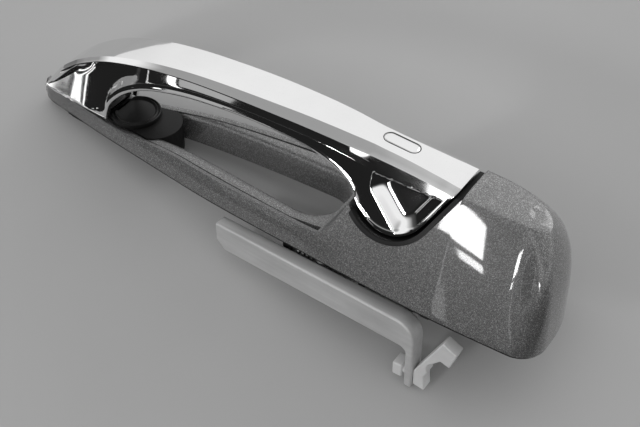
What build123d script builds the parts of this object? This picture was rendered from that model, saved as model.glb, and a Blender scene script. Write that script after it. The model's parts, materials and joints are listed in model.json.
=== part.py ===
from build123d import *
from math import cos, pi, radians, sin, tan
import os

# Outside door handle of a car: a chrome pull strap over a painted bezel, with its release lever.
# Frame: +X along the handle from the pivot end to the end cap, +Z out of the door, -Y towards the
# release lever.  The origin lies midway between the two door fixing holes, in the plane of the
# bezel's rim.  Millimetres.

os.makedirs("parts", exist_ok=True)

# ---- driving dimensions -------------------------------------------------------------------------
TIP_X = -138.0            # pivot end of the bezel
END_X = 137.0             # capped end of the bezel
END_CORNER_R = 11.0       # plan radius of the cap's near corner
END_FLAT_Y = -14.0        # the end face is straight up to here, then sweeps back to the far side
# half-width of the rim along the handle, from the pointed tip to the cap
RIM = [(-134.0, 3.4), (-128.0, 5.2), (-113.0, 8.0), (-98.0, 10.8), (-63.0, 16.2), (-30.0, 21.0),
       (0.0, 24.0), (26.0, 26.0), (52.0, 28.2), (77.0, 30.0), (100.0, 30.8)]
RIM_W = 30.8              # largest half-width, kept up to the cap's corners
RAIL_H = 12.0             # height of the rail beside the finger opening
NOSE_H = 8.0              # height of the bezel under the strap's nose
RAIL_LEAN = 1.8           # how far the rail leans in over its height
CREST_W = 3.4             # rim to the inner step of the rail
STEP_H = 1.8              # step from the crest down to the inner ledge
WALL = 2.6                # wall of the painted moulding

OPEN_R = 15.0             # half-width and end radius of the finger opening
OPEN_END_X = 18.0         # centre of the opening's rounded end
OPEN_SIDE = [(-121.0, 4.4), (-92.0, 7.4), (-63.0, 12.4)]   # half-widths towards the nose
OPEN_WALL = 2.0           # wall round the opening
HOLLOW_LEFT_X = -56.0     # the rails are solid from here to the tip

CAP_LEFT_X = 37.0         # where the cap starts to rise from the rails
CAP_TOP_Z = 48.0          # top of the cap where it meets the strap
CAP_END_Z = 46.0          # top of the cap at its end
CAP_TOP_W = 10.5          # half-width of the cap's top face
CAP_BULGE_Y, CAP_BULGE_Z = 21.6, 26.0
CAP_TOP_END_X = 125.0     # end of the top face
CAP_TRIM = 0.15           # how far the cap's foot stands inside the rim

FOOT_X, FOOT_Z, FOOT_R = 62.0, 42.0, 19.6   # round foot of the strap, seen from the side
FOOT_LEFT_X = 46.6
FOOT_LEAN = 59.0          # slope of the joint between strap and cap, degrees
SEAL_GAP, SEAL_T = 0.9, 1.7
SOCKET_GAP = SEAL_GAP + SEAL_T + 0.1

# centre line of the strap's outer face, and its finger side
TOP_LINE = [(-131.0, 9.9), (-127.5, 14.0), (-119.5, 23.4), (-110.0, 31.6), (-98.0, 39.0), (-82.0, 45.6),
            (-60.0, 50.8), (-35.0, 53.8), (-5.0, 55.0), (25.0, 54.7), (60.0, 52.0), (93.0, 48.4)]
ARCH = [(-89.0, 10.2), (-86.5, 18.6), (-80.4, 25.7), (-73.9, 30.8), (-64.7, 35.6), (-53.0, 39.2),
        (-36.0, 42.2), (-10.0, 43.8), (15.0, 43.0), (30.0, 40.4), (40.0, 36.6)]
NOSE_TIP_X, NOSE_TIP_Z = -131.0, 10.2
# half-widths of the strap at the levels below, along the handle
SIDE_TOP_Z, SIDE_BOTTOM_Z = 60.0, 0.0
SIDES = [(-135.0, 5.0, 6.6), (-115.0, 7.6, 9.6), (-95.0, 9.6, 12.0), (-70.0, 10.6, 13.4),
         (-30.0, 11.0, 13.6), (10.0, 10.6, 14.8), (35.0, 8.8, 20.5), (50.0, 6.4, 27.0),
         (65.0, 5.4, 29.6), (95.0, 5.0, 30.4)]
BEVEL = 2.6               # bevel along the outer face
SCOOP_DEPTH = 1.8         # how deep the side scoops lie
LIP = 4.0                 # polished lip left below the scoop

COVER_T = 2.4             # grip back cover
COVER_W = 9.4
CORE_W = 6.8

BUTTON_X, BUTTON_Y = 57.6, 1.4
BUTTON_L, BUTTON_W = 16.0, 6.0
BUTTON_T = 2.2
BUTTON_PROUD = 0.3
BUTTON_CLEAR = 0.3
BUTTON_TOP_Z = 52.3
SEAL_RING_T, SEAL_RING_W = 0.8, 1.0
SWITCH_T = 3.0
BUTTON_FLOOR_Z = BUTTON_TOP_Z - BUTTON_T - 1.2 - SWITCH_T

PIVOT_X, PIVOT_Z = -115.0, 3.6
PIVOT_R = 1.5             # bore of the strap's pivot
PIVOT_HALF_L = 3.9
RUN_CLEAR = 0.05          # running clearance of the pins
LUG_W = 1.9               # half-width of the strap's pivot lug
LUG_R = 3.4
LUG_TOP_Z = 16.0
BLOCK_TOP_Z, BLOCK_BOTTOM_Z = 9.4, -4.5
BLOCK_END_X, BLOCK_END_R = -70.0, 12.4
BOOT_X, BOOT_R, BOOT_H = -81.0, 11.5, 2.6
BOOT_LEFT_X = -88.6       # the boot is cut straight here, in front of the strap's root
BOOT_EDGE_R = 1.2

BOLT_X = 90.0             # door fixing holes at +-BOLT_X
BOLT_R = 2.5              # tapping bore of the inserts
INSERT_R = 4.2
BOSS_R = 6.6
INSERT_BOTTOM_Z, INSERT_TOP_Z = -5.5, 5.0
SEAT_Z = -1.6             # underside of the gasket, where the door skin lies
GASKET_IN = 0.8
PLATE_IN, PLATE_T = 3.2, 4.0
# fixing screws of the bezel: place, head radius
SCREWS = [(-125.5, 0.0, 1.9), (35.0, -20.5, 3.2), (35.0, 20.5, 3.2), (112.0, 0.0, 3.2)]
SCREW_R, SCREW_HEAD_T, SCREW_TOP_Z = 1.3, 1.3, 6.0
SCREW_BOSS_R, RAIL_BOSS_H = 3.6, 9.0

CRANK_Y, CRANK_Z = -17.0, -10.0
CRANK_R = 2.2             # bore of the lever's hub
HUB_R = 4.5
HUB_LEFT, HUB_RIGHT = 56.3, 82.2
EAR_T = 3.0
EAR_XS = [15.0, 53.0, 82.5]          # left faces of the three ears that carry the crank pin
SPRING_LEFT, SPRING_RIGHT, SPRING_R, WIRE_R = 20.0, 50.0, 4.5, 0.9
ARM_LEFT, ARM_RIGHT, ARM_END_Y = 70.5, 75.0, 11.0
ARM_TOP_Z, ARM_BOTTOM_Z = -9.6, -14.0
CHEEKS = [(58.0, 62.5), (76.5, 81.0)]
CHEEK_TOP_Z, CHEEK_BOTTOM_Z = -7.5, -13.5
CHEEK_INTO_BAR = 2.0
BAR_LEFT, BAR_RIGHT = -17.0, 87.0
BAR_TOP_Z, BAR_BOTTOM_Z = -6.0, -19.5
BAR_CHAMFER = 4.5
BAR_BEND_R = 9.0
BAR_FRONT = (-27.0, -34.2)           # front face at the bar's left and right ends
BAR_BACK = (-20.8, -25.6)
TAB_T, TAB_BOTTOM_Z = 3.6, -41.0
RIVET_R = 1.6
CLIP_Y, CLIP_Z, CLIP_R = -30.0, -34.5, 2.6
CLIP_HALF_W = 3.0
# side view of the clip: its arm, the middle of the notch that cradles the rod, and its foot
CLIP_ARM = [(87.3, -31.0), (99.5, -8.0), (106.0, -11.5), (103.2, -20.0), (99.0, -18.6)]
CLIP_NOTCH = (94.6, -24.6)
CLIP_FOOT = [(92.0, -32.0), (92.6, -40.0), (87.3, -39.0)]
HEAD_LEFT, HEAD_RIGHT, HEAD_HALF_W = 77.5, 82.0, 3.4

TAIL_LEFT, TAIL_RIGHT, TAIL_W = 58.0, 68.0, 6.0
TAIL_BOTTOM_Z = -19.0
LEDGE_RIGHT, LEDGE_Y0, LEDGE_Y1, LEDGE_TOP_Z = 76.0, 2.5, 10.5, -15.0
LEDGE_CREST_Y, LEDGE_SLOPE = 10.0, 37.0   # the ledge falls away below the crank's arm, degrees
WEB_H = 6.0               # web between the tail and its ledge
GUIDE = (55.0, 81.0, -12.5, 13.0)    # hole of the tail guide in the chassis: x, x, y, y
GUIDE_T, GUIDE_TOP_Z = 1.5, 1.5
GRIP_SCREW_XS = [-53.0, 15.0]        # at two points of the arch
GRIP_SCREW_R, GRIP_SCREW_HEAD_R = 1.3, 2.4


# ---- helpers ------------------------------------------------------------------------------------
def joined(*curves):
    """One wire from curves that follow each other."""
    return Wire([edge for curve in curves for edge in curve.edges()])


def side_face(*curves):
    """Closed outline in the handle's side view (X, Z)."""
    return make_face(Plane.XZ * joined(*curves))


def slab(face, half_width):
    """A side-view face given the same thickness each side of the centre plane."""
    return extrude(face, half_width, both=True)


def raised(face, height):
    """A plan outline extruded upwards."""
    return extrude(face, height, dir=(0, 0, 1))


def box(x0, x1, y0, y1, z0, z1):
    return Pos((x0 + x1) / 2, (y0 + y1) / 2, (z0 + z1) / 2) * Box(x1 - x0, y1 - y0, z1 - z0)


def rod(x, y, z0, z1, r):
    """Round bar along Z."""
    return Pos(x, y, (z0 + z1) / 2) * Cylinder(r, z1 - z0)


def shaft_x(x0, x1, y, z, r):
    """Round bar along X."""
    return Pos((x0 + x1) / 2, y, z) * Rot(0, 90, 0) * Cylinder(r, x1 - x0)


def shaft_y(x, y0, y1, z, r):
    """Round bar along Y."""
    return Pos(x, (y0 + y1) / 2, z) * Rot(90, 0, 0) * Cylinder(r, y1 - y0)


def shifted(points, dz):
    return [(x, z + dz) for x, z in points]


def save(shape, node):
    """Write one sub-part, as a plain solid or as a group of its solids."""
    solids = shape.solids()
    whole = solids[0] if len(solids) == 1 else Compound(children=list(solids))
    export_step(whole, f"parts/{node}.step")


# ---- bezel --------------------------------------------------------------------------------------
def rim_face(inset, z):
    """Plan outline of the bezel, drawn in by an inset, at height z.

    It is a leaf whose near corner is tight and whose far corner is a wide quarter of an ellipse.
    """
    w = RIM_W - inset
    end = END_X - inset
    r = END_CORNER_R
    side = [(x, inset - half) for x, half in RIM if half > inset + 1.0]
    tip = (TIP_X + 1.3 * inset, 0)
    turn = (end - r + r * cos(pi / 4), -w + r - r * sin(pi / 4))
    near = Spline(tip, *side, (end - r, -w), tangents=((0, -1), (1, 0)), tangent_scalars=(0.6, 1))
    corner = ThreePointArc((end - r, -w), turn, (end, r - w))
    mirrored = [(x, -y) for x, y in side[::-1]]
    far = Spline(*mirrored, tip, tangents=((-1, 0), (0, -1)), tangent_scalars=(1, 0.6))
    far_start = (side[-1][0], -side[-1][1])
    reach, rise = end - far_start[0], far_start[1] - END_FLAT_Y
    middle = [(far_start[0] + reach * sin(a), END_FLAT_Y + rise * cos(a)) for a in (pi / 3, pi / 6)]
    sweep = Spline((end, END_FLAT_Y), *middle, far_start, tangents=((0, 1), (-1, 0)))
    outline = joined(near, corner, Line((end, r - w), (end, END_FLAT_Y)), sweep, far)
    return Pos(0, 0, z) * make_face(outline)


def rail_body():
    """The low leaf-shaped rail, leaning in a little towards its crest."""
    body = loft([rim_face(0, 0), rim_face(0.25 * RAIL_LEAN, 0.5 * RAIL_H), rim_face(RAIL_LEAN, RAIL_H)])
    keep = side_face(
        Polyline((TIP_X - 5, -1), (TIP_X - 5, NOSE_H), (-88, NOSE_H)),
        Spline((-88, NOSE_H), (-40, RAIL_H), tangents=((1, 0), (1, 0))),
        Polyline((-40, RAIL_H), (END_X + 5, RAIL_H), (END_X + 5, -1), (TIP_X - 5, -1)),
    )
    return body & slab(keep, 40)


def cap_body(inset, floor):
    """The bulbous end cap: its cross-section along X, cut to its outline seen from the side."""
    w_top, w_rim = CAP_TOP_W - inset, RIM_W - inset
    bulge = CAP_BULGE_Y - inset
    half = [
        Line((0, CAP_TOP_Z + 9), (w_top - 3, CAP_TOP_Z + 9)),
        Line((w_top - 3, CAP_TOP_Z + 9), (w_top, CAP_TOP_Z - 1.0)),
        ThreePointArc((w_top, CAP_TOP_Z - 1.0), (bulge, CAP_BULGE_Z), (w_rim, 0)),
        Line((w_rim, 0), (w_rim, floor)),
        Line((w_rim, floor), (0, floor)),
    ]
    mirrored = [curve.mirror(Plane.YZ) for curve in half]
    section_plane = Plane(origin=(CAP_LEFT_X, 0, 0), x_dir=(0, 1, 0), z_dir=(1, 0, 0))
    section = make_face(section_plane * joined(*half, *mirrored))
    bar = extrude(section, END_X - CAP_LEFT_X + 5, dir=(1, 0, 0))
    end, top, top_end = END_X - inset, CAP_TOP_Z - inset, CAP_TOP_END_X - inset
    left = CAP_LEFT_X + inset
    keep = side_face(
        Line((left, floor), (left, RAIL_H - inset)),
        Spline((left, RAIL_H - inset), (left + 9, 29 - inset), (60, top + 2), tangents=((0.3, 1), (1, 0.8))),
        Line((60, top + 2), (84, top)),
        Line((84, top), (top_end - 9, CAP_END_Z + 0.3 - inset)),
        Spline((top_end - 9, CAP_END_Z + 0.3 - inset), (top_end + 3.2, CAP_END_Z - 4 - inset),
               (end - 1.6, 17), (end, 0), tangents=((1, -0.06), (0.02, -1))),
        Polyline((end, 0), (end, floor), (left, floor)),
    )
    return bar & slab(keep, 40) & raised(rim_face(inset + CAP_TRIM, floor), 70)


def foot_face(offset, top=70.0):
    """Side outline of the strap's round foot, grown by an offset; it also cuts the socket."""
    r = FOOT_R + offset
    left = FOOT_LEFT_X - offset
    left_z = FOOT_Z - (r**2 - (FOOT_X - left) ** 2) ** 0.5
    lean = radians(FOOT_LEAN)
    right = (FOOT_X + r * sin(lean), FOOT_Z - r * cos(lean))
    right_top = (right[0] + (top - right[1]) / tan(lean), top)
    return side_face(
        Line((left, top), (left, left_z)),
        ThreePointArc((left, left_z), (FOOT_X, FOOT_Z - r), right),
        Polyline(right, right_top, (left, top)),
    )


def opening_face(grow, z):
    """Plan outline of the finger opening, which narrows under the strap's nose."""
    r = OPEN_R + grow
    side = [(x, half + grow) for x, half in OPEN_SIDE]
    near = Polyline((side[0][0], 0), *[(x, -half) for x, half in side], (OPEN_END_X, -r))
    far = Polyline((OPEN_END_X, r), *side[::-1], (side[0][0], 0))
    end = ThreePointArc((OPEN_END_X, -r), (OPEN_END_X + r, 0), (OPEN_END_X, r))
    return Pos(0, 0, z) * make_face(joined(near, end, far))


def make_bezel():
    """Painted bezel: hollow rails, ledge round the opening, and the socketed end cap."""
    cap = cap_body(0, -1) & box(CAP_LEFT_X - 5, END_X + 5, -40, 40, 0, 60)
    ledge = raised(rim_face(CREST_W, RAIL_H - STEP_H), 30) & box(-95, CAP_LEFT_X + 6, -40, 40, 0, 60)
    hollow = raised(rim_face(WALL, -1), RAIL_H - STEP_H - WALL + 1)
    hollow -= raised(opening_face(OPEN_WALL, -2), 40)
    hollow &= box(HOLLOW_LEFT_X, END_X, -40, 40, -2, 60)
    shell = rail_body() - ledge + cap
    shell -= hollow
    shell -= cap_body(WALL, -1) & box(CAP_LEFT_X + WALL, END_X, -40, 40, -2, 60)
    _, *rail_screws, cap_screw = SCREWS
    shell += rod(cap_screw[0], cap_screw[1], 0, CAP_END_Z, SCREW_BOSS_R) & cap_body(1, -1)
    for x, y, _ in rail_screws:
        shell += rod(x, y, 0, RAIL_BOSS_H, SCREW_BOSS_R)
    shell -= slab(foot_face(SOCKET_GAP), 40)
    shell -= raised(opening_face(0, -2), 40)
    for x, y, _ in SCREWS:
        shell -= rod(x, y, -1, SCREW_TOP_Z, SCREW_R)
    return shell


def make_socket_seal():
    """Black liner between the strap's foot and the painted socket."""
    band = slab(foot_face(SOCKET_GAP - 0.1), 40) - slab(foot_face(SEAL_GAP), 40)
    liner = band & cap_body(1.4, -1) & box(FOOT_LEFT_X - 6, 92, -40, 40, 14, 46)
    return liner - box(TAIL_LEFT - 2.5, TAIL_RIGHT + 1.5, -TAIL_W - 1, TAIL_W + 1, 0, 40)


# ---- strap --------------------------------------------------------------------------------------
def side_loft(inset):
    """Solid between the strap's two side surfaces, drawn in by an inset."""
    sections = []
    for x, top, bottom in SIDES:
        corners = [(top - inset, SIDE_TOP_Z), (bottom - inset, SIDE_BOTTOM_Z),
                   (inset - bottom, SIDE_BOTTOM_Z), (inset - top, SIDE_TOP_Z)]
        plane = Plane(origin=(x, 0, 0), x_dir=(0, 1, 0), z_dir=(1, 0, 0))
        sections.append(plane * make_face(Polyline(*corners, close=True)))
    return loft(sections)


def strap_outline():
    """Side view of the whole strap: nose, arch over the fingers, and round foot."""
    lean = radians(FOOT_LEAN)
    left_z = FOOT_Z - (FOOT_R**2 - (FOOT_X - FOOT_LEFT_X) ** 2) ** 0.5
    foot_end = (FOOT_X + FOOT_R * sin(lean), FOOT_Z - FOOT_R * cos(lean))
    top_end = (foot_end[0] + (48.9 - foot_end[1]) / tan(lean), 48.9)
    return side_face(
        Line((NOSE_TIP_X, NOSE_TIP_Z), ARCH[0]),
        Spline(*ARCH, (FOOT_LEFT_X, left_z + 3)),
        Line((FOOT_LEFT_X, left_z + 3), (FOOT_LEFT_X, left_z)),
        ThreePointArc((FOOT_LEFT_X, left_z), (FOOT_X, FOOT_Z - FOOT_R), foot_end),
        Line(foot_end, top_end),
        Spline(top_end, *TOP_LINE[-2:0:-1], (NOSE_TIP_X, NOSE_TIP_Z)),
    )


def scoop_window():
    """Side view of the long scoop above the polished lip."""
    low = [(x - 3.0, z + LIP - 1.0) for x, z in ARCH[1:4]] + shifted(ARCH[4:9], LIP)
    high = shifted(TOP_LINE[2:10], -BEVEL - 1.6)
    return side_face(
        Polyline((-121.5, 13.6), (-92.5, 13.6), low[0]),
        Spline(*low, (58.0, 45.6)),
        Line((58.0, 45.6), (58.0, 46.4)),
        Spline((58.0, 46.4), *high[::-1], (-121.5, 13.6)),
    )


def foot_window():
    """Side view of the dished panel on the strap's foot."""
    return foot_face(-3.4, 43.0)


def make_grip_shell():
    """Chrome strap shell with bevels, scoops, and room for its core, cover and button."""
    sides = side_loft(0)
    body = slab(strap_outline(), 40) & sides
    top = body.faces().sort_by(Axis.Z)[-1]
    rails = top.edges().filter_by(lambda e: e.length > 100)
    body = chamfer(rails, BEVEL)
    outside = box(-135, 95, -40, 40, 0, 60) - side_loft(SCOOP_DEPTH)
    body -= slab(scoop_window(), 40) & outside
    body -= slab(foot_window(), 40) & outside
    body -= cover_blank()
    body -= core_blank()
    body -= button_slot(BUTTON_CLEAR, BUTTON_FLOOR_Z, 60)
    body -= lug_block()
    for screw in grip_screw_solids():
        body -= screw
    return body


def band(low, high, half_width):
    """Slab between two lines seen from the side, each a list of points with rising X."""
    face = side_face(Spline(*low), Line(low[-1], high[-1]), Spline(*high[::-1]), Line(high[0], low[0]))
    return slab(face, half_width)


def cover_blank():
    """Cover that closes the finger side of the strap, before its screw holes."""
    low = ARCH[3:]
    return band(low, shifted(low, COVER_T), COVER_W)


def core_blank():
    low = shifted(ARCH[4:10], COVER_T)
    high = shifted(ARCH[4:10], COVER_T + 5.2)
    return band(low, high, CORE_W)


def button_slot(grow, z0, z1):
    """Long round-ended prism standing on the button's place."""
    slot = SlotOverall(BUTTON_L + 2 * grow, BUTTON_W + 2 * grow)
    return raised(Pos(BUTTON_X, BUTTON_Y, z0) * slot, z1 - z0)


def grip_screw_solids():
    """Two screws that hold the back cover up against the core."""
    solids = []
    for x in GRIP_SCREW_XS:
        head_z = dict(ARCH)[x] + 0.3
        head = rod(x, 0, head_z, head_z + 1.4, GRIP_SCREW_HEAD_R)
        solids.append(head + rod(x, 0, head_z, head_z + 7, GRIP_SCREW_R))
    return solids


def make_back_cover():
    cover = cover_blank()
    for screw in grip_screw_solids():
        cover -= screw
    return cover


def make_core():
    core = core_blank() - cover_blank()
    for screw in grip_screw_solids():
        core -= screw
    return core


def lug_block():
    """The part of the pivot lug that is let into the strap."""
    return box(PIVOT_X - LUG_R, PIVOT_X + LUG_R + 2, -LUG_W, LUG_W, NOSE_TIP_Z, LUG_TOP_Z)


def make_pivot_lug():
    """Lug that turns on the pivot pin, let into the strap's nose."""
    arm = box(PIVOT_X - LUG_R, PIVOT_X + LUG_R + 2, -LUG_W, LUG_W, PIVOT_Z, NOSE_TIP_Z)
    eye = shaft_y(PIVOT_X, -LUG_W, LUG_W, PIVOT_Z, LUG_R)
    return lug_block() + arm + eye - shaft_y(PIVOT_X, -LUG_W - 1, LUG_W + 1, PIVOT_Z, PIVOT_R)


def make_tail():
    """Tail of the strap: it passes down through the chassis and lifts the crank's arm."""
    foot_bottom = FOOT_Z - FOOT_R
    post = box(TAIL_LEFT, TAIL_RIGHT, -TAIL_W, TAIL_W, TAIL_BOTTOM_Z, foot_bottom + 3)
    post -= slab(foot_face(0), 40)
    ledge = box(TAIL_RIGHT - 1, LEDGE_RIGHT, LEDGE_Y0, LEDGE_Y1, TAIL_BOTTOM_Z, LEDGE_TOP_Z)
    web = box(TAIL_RIGHT - 1, TAIL_RIGHT, LEDGE_Y0, LEDGE_Y1, TAIL_BOTTOM_Z, LEDGE_TOP_Z + WEB_H)
    width = LEDGE_CREST_Y - LEDGE_Y0 + 1
    slope = Plane.YZ * make_face(Polyline(
        (LEDGE_CREST_Y, LEDGE_TOP_Z), (LEDGE_CREST_Y, LEDGE_TOP_Z + 1), (LEDGE_Y0 - 1, LEDGE_TOP_Z + 1),
        (LEDGE_Y0 - 1, LEDGE_TOP_Z - width * tan(radians(LEDGE_SLOPE))), close=True))
    wedge = Pos(TAIL_RIGHT, 0, 0) * extrude(slope, LEDGE_RIGHT - TAIL_RIGHT + 1, dir=(1, 0, 0))
    return post + ledge + web - wedge


def make_button():
    cap = button_slot(0, BUTTON_TOP_Z - BUTTON_T, BUTTON_TOP_Z + BUTTON_PROUD)
    return chamfer(cap.faces().sort_by(Axis.Z)[-1].edges(), 0.35)


def make_button_switch():
    """Sealed switch on the floor of the button's pocket."""
    return button_slot(BUTTON_CLEAR, BUTTON_FLOOR_Z, BUTTON_FLOOR_Z + SWITCH_T - SEAL_RING_T)


def make_button_seal():
    z0 = BUTTON_FLOOR_Z + SWITCH_T - SEAL_RING_T
    z1 = BUTTON_FLOOR_Z + SWITCH_T
    return button_slot(BUTTON_CLEAR, z0, z1) - button_slot(BUTTON_CLEAR - SEAL_RING_W, z0 - 1, z1 + 1)


# ---- chassis ------------------------------------------------------------------------------------
def make_chassis():
    """Black carrier under the bezel: pivot block, side rails, boss plate and crank ears."""
    frame = raised(rim_face(PLATE_IN, -PLATE_T), PLATE_T)
    frame -= raised(opening_face(0.3, -PLATE_T - 1), PLATE_T + 2)
    block = raised(opening_face(-0.3, BLOCK_BOTTOM_Z), BLOCK_TOP_Z - BLOCK_BOTTOM_Z)
    keep = box(-130, BLOCK_END_X, -40, 40, -20, 40)
    keep += rod(BLOCK_END_X, 0, -20, 40, BLOCK_END_R)
    frame += block & keep
    frame += raised(opening_face(0.5, -PLATE_T), PLATE_T) & box(-118, -74, -40, 40, -20, 40)
    for x in (-BOLT_X, BOLT_X):
        frame += rod(x, 0, INSERT_BOTTOM_Z, INSERT_TOP_Z, BOSS_R)
        frame -= rod(x, 0, INSERT_BOTTOM_Z - 1, INSERT_TOP_Z + 1, INSERT_R)
    frame -= box(PIVOT_X - LUG_R - 1, PIVOT_X + LUG_R + 3.5, -LUG_W - 0.3, LUG_W + 0.3, -20, 40)
    frame -= shaft_y(PIVOT_X, -9, 9, PIVOT_Z, PIVOT_R - RUN_CLEAR)
    frame -= box(*GUIDE, -20, 40)
    for x in EAR_XS:
        ear = shaft_x(x, x + EAR_T, CRANK_Y, CRANK_Z, HUB_R)
        ear += box(x, x + EAR_T, CRANK_Y - HUB_R, CRANK_Y + HUB_R, CRANK_Z, -0.5 * PLATE_T)
        frame += ear
    frame -= shaft_x(EAR_XS[0] - 1, EAR_XS[-1] + EAR_T + 1, CRANK_Y, CRANK_Z, CRANK_R - RUN_CLEAR)
    for x, y, _ in SCREWS:
        frame -= rod(x, y, -PLATE_T - 1, 1, SCREW_R)
    return frame


def make_screws():
    return Compound(children=[
        rod(x, y, -PLATE_T - SCREW_HEAD_T, -PLATE_T, head) + rod(x, y, -PLATE_T, SCREW_TOP_Z, SCREW_R)
        for x, y, head in SCREWS
    ])


def make_inserts():
    sleeve = rod(0, 0, INSERT_BOTTOM_Z, INSERT_TOP_Z, INSERT_R)
    sleeve -= rod(0, 0, INSERT_BOTTOM_Z - 1, INSERT_TOP_Z + 1, BOLT_R)
    return Compound(children=[Pos(x, 0, 0) * sleeve for x in (-BOLT_X, BOLT_X)])


def make_gasket():
    ring = raised(rim_face(GASKET_IN, SEAT_Z), -SEAT_Z)
    ring -= raised(rim_face(PLATE_IN, SEAT_Z - 1), 2 - SEAT_Z)
    return ring - raised(opening_face(0.6, SEAT_Z - 1), 2 - SEAT_Z)


def make_boot():
    boot = rod(BOOT_X, 0, BLOCK_TOP_Z, BLOCK_TOP_Z + BOOT_H, BOOT_R)
    boot = fillet(boot.faces().sort_by(Axis.Z)[-1].edges(), BOOT_EDGE_R)
    return boot & box(BOOT_LEFT_X, BOOT_X + BOOT_R + 1, -BOOT_R - 1, BOOT_R + 1, 0, BLOCK_TOP_Z + BOOT_H + 1)


def make_guide():
    x0, x1, y0, y1 = GUIDE
    t = GUIDE_T
    frame = box(x0, x1, y0, y1, -PLATE_T, GUIDE_TOP_Z)
    return frame - box(x0 + t, x1 - t, y0 + t, y1 - t, -PLATE_T - 1, GUIDE_TOP_Z + 1)


# ---- release lever ------------------------------------------------------------------------------
def make_hub():
    """Hub of the bell crank, with its arm over the tail's ledge and two cheeks into the bar."""
    hub = shaft_x(HUB_LEFT, HUB_RIGHT, CRANK_Y, CRANK_Z, HUB_R)
    hub += box(ARM_LEFT, ARM_RIGHT, CRANK_Y, ARM_END_Y, ARM_BOTTOM_Z, ARM_TOP_Z)
    for x0, x1 in CHEEKS:
        hub += box(x0, x1, bar_y(BAR_BACK, x1) - CHEEK_INTO_BAR, CRANK_Y, CHEEK_BOTTOM_Z, CHEEK_TOP_Z)
    return hub - shaft_x(HUB_LEFT - 1, HUB_RIGHT + 1, CRANK_Y, CRANK_Z, CRANK_R)


def bar_y(ends, x):
    """Place of the bar's slanting front or back face at x."""
    share = (x - BAR_LEFT) / (BAR_RIGHT - BAR_LEFT)
    return ends[0] + share * (ends[1] - ends[0])


def make_bar():
    """Release bar: a heavy flat bar whose right end turns down into the tab for the rod clip."""
    bend_x, bend_z = BAR_RIGHT - BAR_BEND_R, BAR_TOP_Z - BAR_BEND_R
    turn = (bend_x + BAR_BEND_R * cos(pi / 4), bend_z + BAR_BEND_R * sin(pi / 4))
    tab_left = BAR_RIGHT - TAB_T
    side = side_face(
        Line((BAR_LEFT, BAR_TOP_Z), (bend_x, BAR_TOP_Z)),
        ThreePointArc((bend_x, BAR_TOP_Z), turn, (BAR_RIGHT, bend_z)),
        Polyline((BAR_RIGHT, bend_z), (BAR_RIGHT, TAB_BOTTOM_Z), (tab_left, TAB_BOTTOM_Z),
                 (tab_left, BAR_BOTTOM_Z), (BAR_LEFT + BAR_CHAMFER, BAR_BOTTOM_Z),
                 (BAR_LEFT, BAR_BOTTOM_Z + BAR_CHAMFER), (BAR_LEFT, BAR_TOP_Z)),
    )
    plan = make_face(Polyline((BAR_LEFT, BAR_FRONT[0]), (BAR_RIGHT, BAR_FRONT[1]),
                              (BAR_RIGHT, BAR_BACK[1]), (BAR_LEFT, BAR_BACK[0]), close=True))
    bar = slab(side, 40) & raised(Pos(0, 0, TAB_BOTTOM_Z - 1) * plan, 60)
    bar -= make_hub()
    for rivet in rivet_solids():
        bar -= rivet
    return bar - shaft_x(tab_left - 1, BAR_RIGHT + 1, CLIP_Y, CLIP_Z, CLIP_R + RUN_CLEAR)


def rivet_solids():
    """Rivets through the bar into the hub's cheeks."""
    solids = []
    for x0, x1 in CHEEKS:
        x = (x0 + x1) / 2
        front = bar_y(BAR_FRONT, x)
        back = bar_y(BAR_BACK, x1) - CHEEK_INTO_BAR
        solids.append(shaft_y(x, front + 0.4, back, (CHEEK_TOP_Z + CHEEK_BOTTOM_Z) / 2, RIVET_R))
    return solids


def make_spring():
    """Space that the torsion spring's coils fill round the crank pin."""
    tube = shaft_x(SPRING_LEFT, SPRING_RIGHT, CRANK_Y, CRANK_Z, SPRING_R)
    return tube - shaft_x(SPRING_LEFT - 1, SPRING_RIGHT + 1, CRANK_Y, CRANK_Z, SPRING_R - 2 * WIRE_R)


def make_clip():
    """Nylon clip for the latch rod: a pin through the tab, and an arm that cradles the rod."""
    side = side_face(
        Polyline(*CLIP_ARM),
        ThreePointArc(CLIP_ARM[-1], CLIP_NOTCH, CLIP_FOOT[0]),
        Polyline(*CLIP_FOOT, CLIP_ARM[0]),
    )
    clip = Pos(0, CLIP_Y, 0) * slab(side, CLIP_HALF_W)
    return clip + shaft_x(HEAD_RIGHT, CLIP_FOOT[-1][0] + 0.7, CLIP_Y, CLIP_Z, CLIP_R)


def make_retainer():
    """Square head that holds the clip's pin behind the tab."""
    h = HEAD_HALF_W
    return box(HEAD_LEFT, HEAD_RIGHT, CLIP_Y - h, CLIP_Y + h, CLIP_Z - h, CLIP_Z + h)


save(make_bezel(), "bezel_cover")
save(make_socket_seal(), "socket_seal")
save(make_chassis(), "chassis_frame")
save(make_gasket(), "door_gasket")
save(make_inserts(), "threaded_inserts")
save(make_screws(), "bezel_screws")
save(shaft_y(PIVOT_X, -PIVOT_HALF_L, PIVOT_HALF_L, PIVOT_Z, PIVOT_R - RUN_CLEAR), "pivot_pin")
save(make_boot(), "pivot_boot")
save(make_guide(), "tail_guide")
save(shaft_x(EAR_XS[0] - 0.6, EAR_XS[-1] + EAR_T + 0.6, CRANK_Y, CRANK_Z, CRANK_R - RUN_CLEAR), "crank_pin")
save(make_spring(), "lever_spring")
save(make_grip_shell(), "grip_shell")
save(make_back_cover(), "grip_back_cover")
save(make_core(), "grip_core")
save(Compound(children=grip_screw_solids()), "grip_screws")
save(make_pivot_lug(), "pivot_lug")
save(make_tail(), "grip_tail")
save(make_button_switch(), "button_switch")
save(make_button_seal(), "button_seal")
save(make_button(), "button_cap")
save(make_hub(), "crank_hub")
save(make_bar(), "release_bar")
save(Compound(children=rivet_solids()), "bar_rivets")
save(make_clip(), "rod_clip")
save(make_retainer(), "clip_retainer")
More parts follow.
